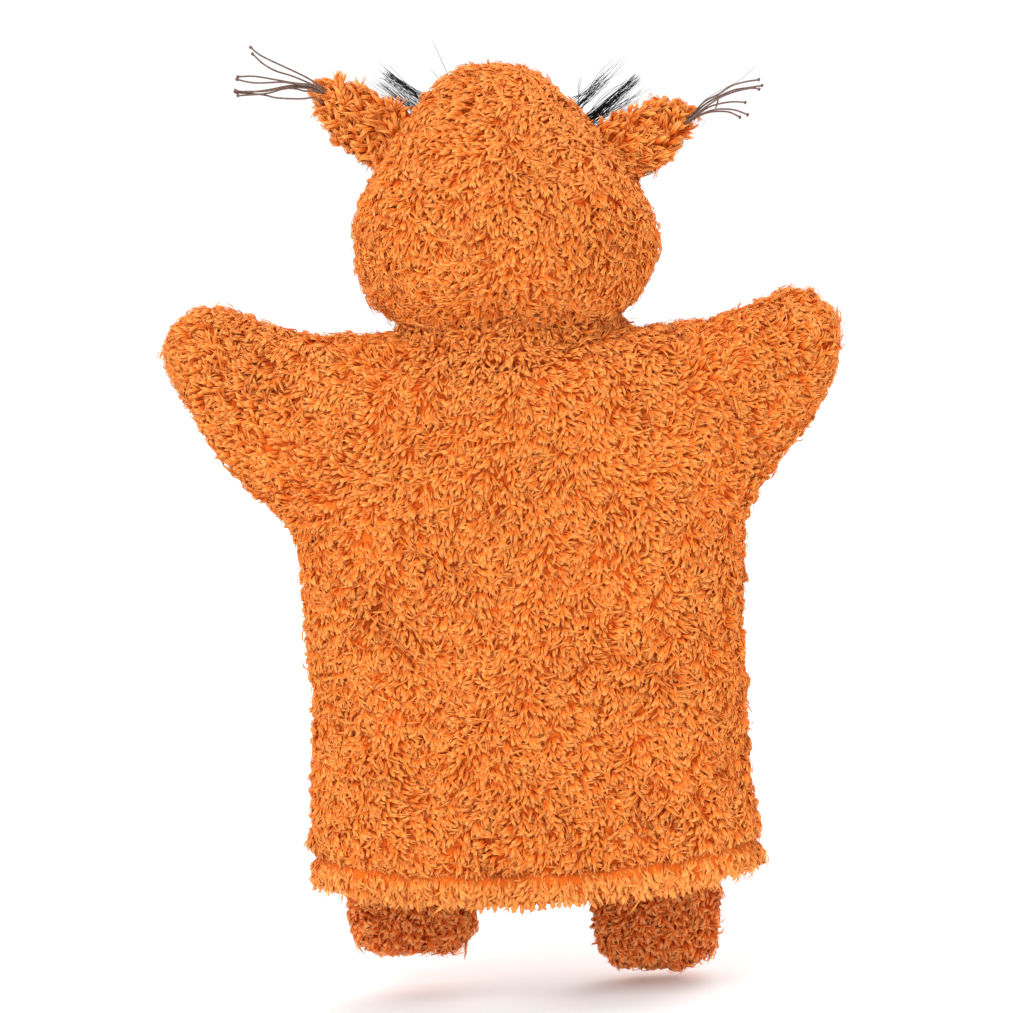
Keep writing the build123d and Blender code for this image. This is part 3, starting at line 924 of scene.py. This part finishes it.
def head_flow(points):
    """The pile runs across the top of the head and turns down below."""
    high = np.clip((points[:, 2] - 216 * MM) / (44 * MM), 0, 1)[:, None]
    across = np.array([0.9, 0.25, -0.30])
    outward, back = points[:, 0] / (90 * MM), 0.2 * np.sign(points[:, 1])
    down = np.column_stack([outward, back, np.full(len(points), -1.0)])
    return across * high + down * (1 - high)


EYES = [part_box(side + "_eye") for side in SIDES]
EYE_SPOTS = [
    np.array([(low[0] + high[0]) / 2, low[1] + 3 * MM, (low[2] + high[2]) / 2]) for low, high in EYES
]
MUZZLE_SIZE = np.array([20.0, 16.0, 13.0]) * MM          # half sizes
MUZZLE_CENTRE = np.array([0, -35.0, 211.0]) * MM


def head_groom(points):
    """Short round the eyes and under the muzzle."""
    tall = np.ones(len(points))
    for spot in EYE_SPOTS:
        away = np.linalg.norm(points - spot, axis=1)
        tall = np.minimum(tall, np.clip((away - 3.5 * MM) / (7 * MM), 0.12, 1))
    near = np.linalg.norm((points - MUZZLE_CENTRE) / MUZZLE_SIZE, axis=1)
    short = np.minimum(tall, np.clip((near - 0.85) / 0.4, 0.1, 1))
    return np.where(points[:, 1] < 0, short, tall)


def make_head():
    """The plush of the head in quarters, open below for the finger."""
    skin = head_skin(PILE)
    centres = skin.centres()
    open_neck = near_axis(centres, 12.5 * MM) & (centres[:, 2] < 200 * MM)
    pile = Pile(201)
    for name, half, node in (
        ("head_back", centres[:, 1] >= 0, "head_back_panel"),
        ("head_front", centres[:, 1] < 0, "head_face_panel"),
    ):
        for side, sign in SIDES.items():
            pile.seed += 1
            part = skin.part(half & (centres[:, 0] * sign > 0) & ~open_neck)
            mesh = furry_mesh(f"{name}_{side}_plush", part, pile, head_flow, head_groom)
            obj = piece(mesh, PLUSH, "plush", "head", [node] if side == "left" else [])
    make_stuffing()
    make_muzzle()


def lumpy(skin, size, height, seed):
    """The points of a skin with lumps of this size and height."""
    return skin.points + skin.normals * (Waves(seed, size)(skin.points) * height)[:, None]


# height and radius of the room for the finger tube in the stuffing, mm
WELL_PROFILE = ((194, 11.7), (205, 11.7), (222, 11.7), (238.6, 11.7), (239.2, 8.0), (239.3, 0.4))


def make_stuffing():
    """Loose wool round the finger tube."""
    skin = head_skin(PILE + 3.5 * MM)
    centres = skin.centres()
    skin = skin.part(~(near_axis(centres, 13 * MM) & (centres[:, 2] < 205 * MM)))
    points = lumpy(skin, 9 * MM, 0.5 * MM, 41)
    turns = 36
    angle = np.linspace(0, 2 * np.pi, turns, endpoint=False)
    rings = []
    for height, radius in WELL_PROFILE:
        circle = np.column_stack([np.cos(angle), np.sin(angle)]) * radius * MM
        rings.append(np.column_stack([circle, np.full(turns, height * MM)]))
    well, well_faces = tube_faces(rings)
    faces = np.vstack([skin.faces, well_faces + len(points)])
    mesh = mesh_from("head_wool", np.vstack([points, well]), faces)
    piece(mesh, WOOL, "stuffing", "head", ["head_stuffing"])


def ball_skin(centre, size, turns=48, rows=26):
    """An ellipsoid skin with half sizes along X, Y and Z."""
    angle = np.linspace(0, 2 * np.pi, turns, endpoint=False)
    rings = []
    for t in np.linspace(0.02, math.pi - 0.02, rows):
        x, y = np.cos(angle) * math.sin(t), np.sin(angle) * math.sin(t)
        circle = np.column_stack([x, y, np.full(turns, -math.cos(t))])
        rings.append(centre + circle * size)
    return Skin(*tube_faces(rings))


def in_head(points, shrink):
    """Which points lie inside the head, drawn in by shrink."""
    z, w, d = (np.array(column) * MM for column in zip(*HEAD_PROFILE))
    width = np.maximum(np.interp(points[:, 2], z, w) - shrink, 1e-4)
    depth = np.maximum(np.interp(points[:, 2], z, d) - shrink, 1e-4)
    return (points[:, 0] / width) ** 2 + (points[:, 1] / depth) ** 2 < 1


def make_muzzle():
    """The cream muzzle with the nose and the stitched mouth."""
    skin = ball_skin(MUZZLE_CENTRE, MUZZLE_SIZE - 1.0 * MM, 72, 40)
    skin = skin.part(~in_head(skin.centres(), 4 * MM))
    pile = Pile(221, density=0.75e6, fibres=6, length=2.4 * MM, rise=0.45, curl=0.4, spread=0.5 * MM)

    def flow(points):
        return (points - MUZZLE_CENTRE) * (1, 0.2, 1) + (0, 0, -0.004)

    mesh = furry_mesh("muzzle_plush", skin, pile, flow)
    piece(mesh, CREAM, "cream_felt", "head", ["muzzle"])

    low, high = (np.array(corner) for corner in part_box("nose"))
    middle = np.array([0, -49 * MM, (low[2] + high[2]) / 2])
    nose = ball_skin(middle, np.array([6.0, 4.2, 4.4]) * MM, 40, 24)
    narrow = 1 - 0.28 * np.clip((middle[2] - nose.points[:, 2]) / (4.4 * MM), 0, 1)
    nose.points[:, 0] *= narrow
    mesh = mesh_from("nose_pad", nose.points, nose.faces)
    piece(mesh, VELVET, "nose_cloth", "head", ["nose"])

    drop = [(0, z) for z in np.linspace(215, 208.4, 6)]
    smile = [(9.0 * math.sin(a), 217 - 9.0 * math.cos(a)) for a in np.linspace(-0.95, 0.95, 15)]
    strands = [
        stitch_on_muzzle(start, end) for line in (drop, smile) for start, end in zip(line[:-1], line[1:])
    ]
    mesh = join_strands("mouth_thread", strands)
    piece(mesh, EMBROIDERY, "dark_thread", "head", ["mouth_stitch"])


def stitch_on_muzzle(start, end):
    """One stitch: a short thread lying on the muzzle between two (x, z) points in mm."""
    path = []
    for t in np.linspace(-0.06, 1.06, 6):
        x, z = (a + (b - a) * t for a, b in zip(start, end))
        dx, dz = x * MM / MUZZLE_SIZE[0], (z * MM - MUZZLE_CENTRE[2]) / MUZZLE_SIZE[2]
        front = math.sqrt(max(1 - dx * dx - dz * dz, 0.01)) * (MUZZLE_SIZE[1] + 0.5 * MM)
        sink = 0.5 * MM * (2 * t - 1) ** 4
        path.append((x * MM, MUZZLE_CENTRE[1] - front + sink, z * MM))
    return thread(path, 0.55 * MM, 0.55 * MM, 7, 0.25 * MM)


# ------------------------------------------------------------------ threads and hairs
def thread(path, radius, end_radius, sides, step=1.2 * MM, knot=0.0):
    """A round strand along a smooth path, tapering to end_radius; knot is the radius of a knot."""
    line = smooth_curve(path, step)
    along = unit(np.gradient(line, axis=0))
    across = unit(np.cross(along, (0.12, 1.0, 0.2)))
    other = np.cross(along, across)
    angle = np.linspace(0, 2 * np.pi, sides, endpoint=False)
    size = np.linspace(radius, end_radius, len(line))
    size[0] *= 0.3
    size[-1] *= 0.3
    rings = [p + r * (np.cos(angle)[:, None] * a + np.sin(angle)[:, None] * b)
             for p, r, a, b in zip(line, size, across, other)]
    points, faces = tube_faces(rings)
    if knot:
        bead = ball_skin(line[-1] - along[-1] * knot * 0.6, np.array([knot, knot, knot]), 10, 7)
        faces = np.vstack([faces, bead.faces + len(points)])
        uneven = Waves(51, 1.2 * MM)(bead.points)[:, None] * 0.08 * MM
        points = np.vstack([points, bead.points + uneven])
    return points, faces


def join_strands(name, strands):
    """One mesh of many strands."""
    base, points, faces = 0, [], []
    for strand_points, strand_faces in strands:
        points.append(strand_points)
        faces.append(strand_faces + base)
        base += len(strand_points)
    return mesh_from(name, np.vstack(points), np.vstack(faces))


# ------------------------------------------------------------------ ears
# (out from the hinge, across), mm, round the pile of an ear
EAR_OUTLINE = (
    (-9.0, 9.6), (0.0, 10.6), (8.0, 10.6), (15.6, 9.9), (23.0, 7.4), (28.0, 4.6), (30.6, 0.6),
    (28.8, -2.6), (23.3, -5.8), (17.4, -9.1), (11.8, -10.8), (6.0, -11.1), (0.0, -10.7), (-9.0, -9.4),
)
EAR_LENGTH = {"left": 1.07, "right": 0.88}              # length of each ear as a share of the outline's
ear_hinges = {side: joints[side + "_ear_flop"] for side in SIDES}


def ear_frame(side):
    """From ear coordinates (out, towards the back, across) to the row frame."""
    hinge = ear_hinges[side]
    across = np.array(hinge["axis"], float)
    across /= np.linalg.norm(across)
    back = np.array([0, 1.0, 0])
    out = np.cross(back, across) * SIDES[side]
    out *= np.sign(out[0]) * SIDES[side]
    turn = np.eye(4)
    turn[:3, 0], turn[:3, 1], turn[:3, 2] = out, back, across
    turn[:3, 3] = hinge["pos_m"]
    return turn


def ear_skin(side, inset, depth, spacing):
    """An ear in its own coordinates, drawn in from the outline of the pile."""
    outline = np.array(EAR_OUTLINE) * (EAR_LENGTH[side], 1) * MM
    rim = smooth_curve(outline, 1.6 * MM, closed=True)
    rim = rim + inward(rim) * inset
    return pillow(rim, looped(rim), even_depth(depth), spacing, (0.5, 1.5, 3.0))


def on_ear(skin, frame_matrix):
    """Half of an ear set into the row frame, facing outwards."""
    skin = skin.placed(frame_matrix)
    if np.linalg.det(frame_matrix[:3, :3]) < 0:
        skin.faces = skin.faces[:, ::-1]
    return skin


def make_ears():
    """Each ear has a plush back that bows a little and a cream front that is hollow."""
    for side in SIDES:
        frame_matrix = ear_frame(side)
        out = frame_matrix[:3, 0]
        hinge = frame_matrix[:3, 3]
        skin = ear_skin(side, 1.7 * MM, 2.6 * MM, 2.2 * MM)
        back = skin.part(skin.centres()[:, 1] >= 0)
        bow = 0.035 * back.points[:, 0] ** 2 / MM
        back.points[:, 1] += 0.2 * MM - bow * 0.3
        pile = Pile(301, density=0.55e6, fibres=7, length=4.4 * MM, width=0.5 * MM, rise=0.55,
                    curl=1.2, stray=0.6)

        def flow(points, out=out, hinge=hinge):
            return out + unit(points - hinge) * 0.3 + np.array([0, 0, 0.15])

        mesh = furry_mesh(side + "_ear_back_plush", on_ear(back, frame_matrix), pile, flow)
        piece(mesh, PLUSH, "plush", side + "_ear", [side + "_ear_back"])

        skin = ear_skin(side, 1.0 * MM, 2.0 * MM, 2.2 * MM)
        front = skin.part(skin.centres()[:, 1] < 0)
        front.points[:, 2] -= 0.5 * MM
        hollow = np.clip(-front.points[:, 1] / (2.0 * MM), 0, 1)
        front.points[:, 1] += hollow * 0.9 * MM + 0.2 * MM - 0.0105 * front.points[:, 0] ** 2 / MM
        pile = Pile(311, density=0.7e6, fibres=6, length=2.4 * MM, width=0.36 * MM, rise=0.42,
                    curl=0.6, stray=0.4, spread=0.5 * MM)
        mesh = furry_mesh(side + "_ear_front_plush", on_ear(front, frame_matrix), pile, flow)
        piece(mesh, CREAM, "cream_felt", side + "_ear", [side + "_ear_front"])


# The X and the Z (mm) of the points that each thread passes on its way from the tip of the ear.
LEFT_THREADS = (
    ((56.6, 59.2, 63.3, 69.5, 74.9, 78.1, 80.8),
     (269.3, 271.3, 274.0, 277.3, 280.1, 282.0, 284.5)),
    ((57.1, 59.7, 64.2, 68.3, 72.8, 76.8, 80.3),
     (268.6, 270.5, 272.9, 274.7, 276.3, 278.8, 282.4)),
    ((57.3, 60.0, 62.9, 67.0, 72.9, 79.8, 85.5),
     (268.9, 270.9, 271.5, 272.1, 273.4, 274.8, 274.9)),
    ((57.3, 60.0, 63.4, 67.0, 70.7, 79.9, 85.8),
     (268.3, 270.3, 271.3, 271.8, 272.5, 272.7, 274.1)),
    ((57.1, 59.8, 63.4, 68.4, 75.4, 82.3, 86.6),
     (268.0, 269.9, 270.7, 271.3, 270.3, 269.8, 270.6)),
    ((57.4, 60.0, 63.4, 69.4, 76.3, 83.6, 86.9),
     (267.5, 269.5, 270.3, 270.9, 269.9, 270.1, 270.3)),
    ((57.6, 60.3, 63.5, 67.1, 70.8, 76.3, 85.9),
     (267.1, 269.1, 269.3, 270.3, 270.3, 269.1, 268.8)),
    ((57.9, 60.6, 64.0, 67.3, 73.2, 77.7, 86.3),
     (265.0, 267.0, 266.9, 267.0, 267.6, 268.8, 269.9)),
)
RIGHT_THREADS = (
    ((-59.9, -62.6, -67.2, -71.6, -76.1, -80.6, -85.4),
     (254.5, 255.9, 260.1, 262.1, 264.7, 265.8, 266.3)),
    ((-60.0, -62.7, -67.1, -71.6, -77.0, -82.2, -86.6),
     (254.1, 255.5, 259.0, 261.4, 263.4, 264.0, 264.5)),
    ((-60.1, -62.8, -67.5, -72.5, -77.8, -82.7, -85.3),
     (253.6, 255.0, 258.3, 261.2, 262.9, 263.6, 263.1)),
    ((-60.1, -62.7, -67.0, -70.6, -75.9, -80.7),
     (253.3, 254.7, 257.4, 258.8, 259.5, 259.1)),
    ((-60.0, -62.7, -67.0, -71.4, -76.7, -81.2),
     (253.0, 254.4, 256.4, 257.3, 256.8, 254.9)),
    ((-60.0, -62.7, -67.0, -70.5, -74.9, -78.7),
     (252.7, 254.2, 256.1, 256.6, 256.2, 254.2)),
)
# a short piece lying across the right threads, and a fine loose one
RIGHT_CROSS = ((-71.4, -71.5, -70.5), (261.9, 260.3, 257.3))
RIGHT_FINE = ((-60.5, -62.8, -67.2, -73.9, -79.3, -84.5), (253.5, 255.5, 260.5, 264.0, 266.8, 270.9))


def make_threads():
    """Waxed threads drawn together at the tips of the ears, each ending in a small knot. They leave
    the tip a little in front of one another or behind, and spread further on."""
    rng = np.random.default_rng(61)
    for side, lines in (("left", LEFT_THREADS), ("right", RIGHT_THREADS)):
        strands = []
        for line in lines:
            start, end = rng.uniform(-0.9, 0.6), rng.uniform(-2.2, 2.2)
            path = []
            for i, (x, z) in enumerate(zip(*line)):
                y = 0.3 + start + (end - start) * i / (len(line[0]) - 1)
                path.append((x * MM, y * MM, z * MM))
            strands.append(thread(path, 0.31 * MM, 0.29 * MM, 8, 0.8 * MM, knot=0.58 * MM))
        if side == "right":
            path = [(x * MM, 0.6 * MM, z * MM) for x, z in zip(*RIGHT_CROSS)]
            strands.append(thread(path, 0.26 * MM, 0.24 * MM, 7, 0.6 * MM))
            path = [(x * MM, 0.2 * MM, z * MM) for x, z in zip(*RIGHT_FINE)]
            strands.append(thread(path, 0.10 * MM, 0.06 * MM, 5))
        mesh = join_strands(side + "_ear_waxed_threads", strands)
        piece(mesh, WAXED, "waxed_thread", side + "_ear", [side + "_ear_threads"])


# ------------------------------------------------------------------ black hair between the ears
# root (X, Z), tip (X, Z), spread at the root, spread at the tip, how many; mm
HAIR_BUNDLES = {
    "left": (
        ((25.1, 265.4), (37.5, 274.7), 1.2, 1.2, 30), ((27.1, 261.3), (39.9, 271.6), 1.0, 1.6, 27),
        ((26.1, 263.1), (38.9, 274.3), 1.3, 1.8, 14), ((16.9, 274.0), (21.4, 285.0), 0.2, 0.4, 1),
        ((18.9, 270.6), (22.4, 274.5), 0.3, 0.4, 1),
    ),
    "right": (
        ((-30.6, 257.4), (-45.7, 269.2), 1.4, 1.0, 51), ((-27.3, 261.9), (-35.8, 270.5), 1.3, 1.2, 24),
        ((-31.9, 256.0), (-45.4, 264.6), 1.4, 2.4, 27), ((-27.8, 262.3), (-38.4, 274.5), 1.5, 2.2, 8),
        ((-26.1, 262.8), (-27.6, 271.3), 0.5, 0.6, 2),
    ),
}


HAIR_ROOT = 0.35                        # each hair goes on into the head by this share of its length


def make_hair():
    """Two tufts of long straight hair, rooted in the front of the head beside the ears."""
    rng = np.random.default_rng(71)
    for side, bundles in HAIR_BUNDLES.items():
        strands = []
        for root, tip, root_spread, tip_spread, count in bundles:
            for _ in range(count):
                x0, z0 = rng.normal(root, root_spread)
                x1, z1 = rng.normal(tip, tip_spread)
                y0, y1 = -12 + rng.normal(0, 1.5), -14 + rng.normal(0, 3.5)
                inner = (x0 - HAIR_ROOT * (x1 - x0), y0 + 2.0, z0 - HAIR_ROOT * (z1 - z0))
                bend = rng.normal(0, 0.7)
                y = (y0 + y1) / 2 + rng.normal(0, 0.6)
                middle = ((x0 + x1) / 2 + bend * 0.5, y, (z0 + z1) / 2 + bend)
                path = [tuple(v * MM for v in p) for p in (inner, (x0, y0, z0), middle, (x1, y1, z1))]
                strands.append(thread(path, 0.10 * MM, 0.045 * MM, 4, 2.2 * MM))
        mesh = join_strands(side + "_hair_strands", strands)
        piece(mesh, HAIR, "long_hair", "head", [side + "_hair_tuft"])


# ------------------------------------------------------------------ feet
FOOT_TUCK = 6.0 * MM                    # how far the top of a foot goes up inside the hem
FOOT_OUTLINE = (
    # share of half the width, share of the height from the top
    (-0.93, 0.0), (-0.99, 0.18), (-1.0, 0.50), (-0.95, 0.74), (-0.80, 0.90), (-0.52, 0.98), (0.0, 1.0),
    (0.52, 0.98), (0.80, 0.90), (0.95, 0.74), (1.0, 0.50), (0.99, 0.18), (0.93, 0.0),
)


def foot_skin(side, inset, depth, spacing):
    """A foot drawn in from the outside of the pile; its top goes up inside the hem."""
    low, high = (np.array(corner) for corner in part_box(side + "_foot_cover"))
    middle = (low + high) / 2
    half = (high[0] - low[0]) / 2 - inset
    tall = high[2] - low[2] - inset
    line = np.array([(middle[0] + a * half, high[2] - b * tall) for a, b in FOOT_OUTLINE])
    curve = smooth_curve(line, 2.0 * MM)
    curve[:, 1] += FOOT_TUCK * np.clip((curve[:, 1] - high[2] + 8 * MM) / (8 * MM), 0, 1)
    top = np.linspace(curve[-1, 0], curve[0, 0], 14)[1:-1]
    rim = np.vstack([curve, np.column_stack([top, np.full(len(top), high[2] + FOOT_TUCK)])])
    skin = pillow(rim, looped(rim), even_depth(depth), spacing, (0.5, 1.6, 3.2, 5.5))
    skin.points[:, 1] += middle[1]
    return skin


def make_feet():
    """Two stuffed feet of plush, painted darker as the shade under the hem."""
    pile = Pile(401, length=4.4 * MM, curl=1.6, stray=0.6)
    for side in SIDES:
        pile.seed += 1
        skin = foot_skin(side, 2.6 * MM, 9.0 * MM, 3 * MM)
        middle = skin.points.mean(0)

        def flow(points, middle=middle):
            return unit(points - middle) * (0.5, 0.2, 0.3) + (0, 0, -0.8)

        mesh = furry_mesh(side + "_foot_plush", skin, pile, flow)
        obj = piece(mesh, SHADED_FOOT_PLUSH, "foot_plush", side + "_foot", [side + "_foot_cover"])
        wool = foot_skin(side, 5.6 * MM, 6.0 * MM, 3 * MM)
        mesh = mesh_from(side + "_foot_wool", lumpy(wool, 7 * MM, 0.4 * MM, 42), wool.faces)
        piece(mesh, WOOL, "stuffing", side + "_foot", [side + "_foot_stuffing"])


def finish_cad_pieces():
    """Materials of the pieces that keep their CAD shape."""
    for name, material in (
        ("finger_tube", BOARD), ("left_eye", GLOSS), ("right_eye", GLOSS), ("left_eye_washer", WASHER),
        ("right_eye_washer", WASHER), ("hem_stitching", SEWING), ("neck_thread", SEWING),
    ):
        mesh = frame["nodes"][name].data
        mesh.materials.clear()
        mesh.materials.append(material)


# ------------------------------------------------------------------ floor, light and camera
def make_stage():
    """A wide light floor just below the feet."""
    low = cad_low[2] - 3 * MM
    mesh = bpy.data.meshes.new("floor")
    size = 6.0
    corners = [(-size, -size, low), (size, -size, low), (size, size, low), (-size, size, low)]
    mesh.from_pydata(corners, [], [(0, 1, 2, 3)])
    floor = bpy.data.objects.new("floor", mesh)
    bpy.context.collection.objects.link(floor)
    paint = Paint("floor_paint", 0.9, 0.0, 0.1)
    paint.feed(paint.shader, {"Base Color": (0.93, 0.93, 0.93, 1)})
    mesh.materials.append(paint.material)


def sun(name, direction, angle, strength):
    """A lamp as wide as this angle in degrees, shining in this direction."""
    data = bpy.data.lights.new(name, "SUN")
    data.angle = math.radians(angle)
    data.energy = strength
    light = bpy.data.objects.new(name, data)
    bpy.context.collection.objects.link(light)
    light.rotation_euler = Vector(direction).to_track_quat("-Z", "Y").to_euler()


def make_lights():
    """An even white studio: bright walls all round and soft lamps above the two long sides."""
    world = bpy.data.worlds.new("studio")
    world.use_nodes = True
    background = world.node_tree.nodes["Background"]
    background.inputs[0].default_value = (1, 1, 1, 1)
    background.inputs[1].default_value = 1.06
    bpy.context.scene.world = world
    sun("key", (-0.35, -0.85, -0.75), 30, 1.5)
    sun("front", (0.4, 0.9, -0.6), 40, 1.2)
    bpy.context.scene.view_settings.view_transform = "Standard"


def make_camera():
    """The photo's view, from behind the puppet and a little from above, with the camera rolled."""
    lean = math.radians(2.6)
    elevation = math.radians(4.0)
    target = Vector((3.8 * MM, 0, 130 * MM))
    distance = 1.3
    seen_width = 334.5 * MM
    back = Vector((0, math.cos(elevation), math.sin(elevation)))
    right = (-back).cross(Vector((0, 0, 1))).normalized()
    up = right.cross(-back)
    rolled_up = up * math.cos(lean) + right * math.sin(lean)
    rolled_right = right * math.cos(lean) - up * math.sin(lean)
    data = bpy.data.cameras.new("camera")
    data.sensor_width = 36.0
    data.lens = data.sensor_width * distance / seen_width
    camera = bpy.data.objects.new("camera", data)
    bpy.context.collection.objects.link(camera)
    turn = Matrix((rolled_right, rolled_up, back)).transposed().to_4x4()
    camera.matrix_world = Matrix.Translation(target + back * distance) @ turn
    bpy.context.scene.camera = camera


make_camera()
make_stage()
make_lights()
make_body()
make_lining()
make_hem()
make_neck()
make_shoulder_cuffs()
make_head()
make_ears()
make_threads()
make_hair()
make_feet()
finish_cad_pieces()
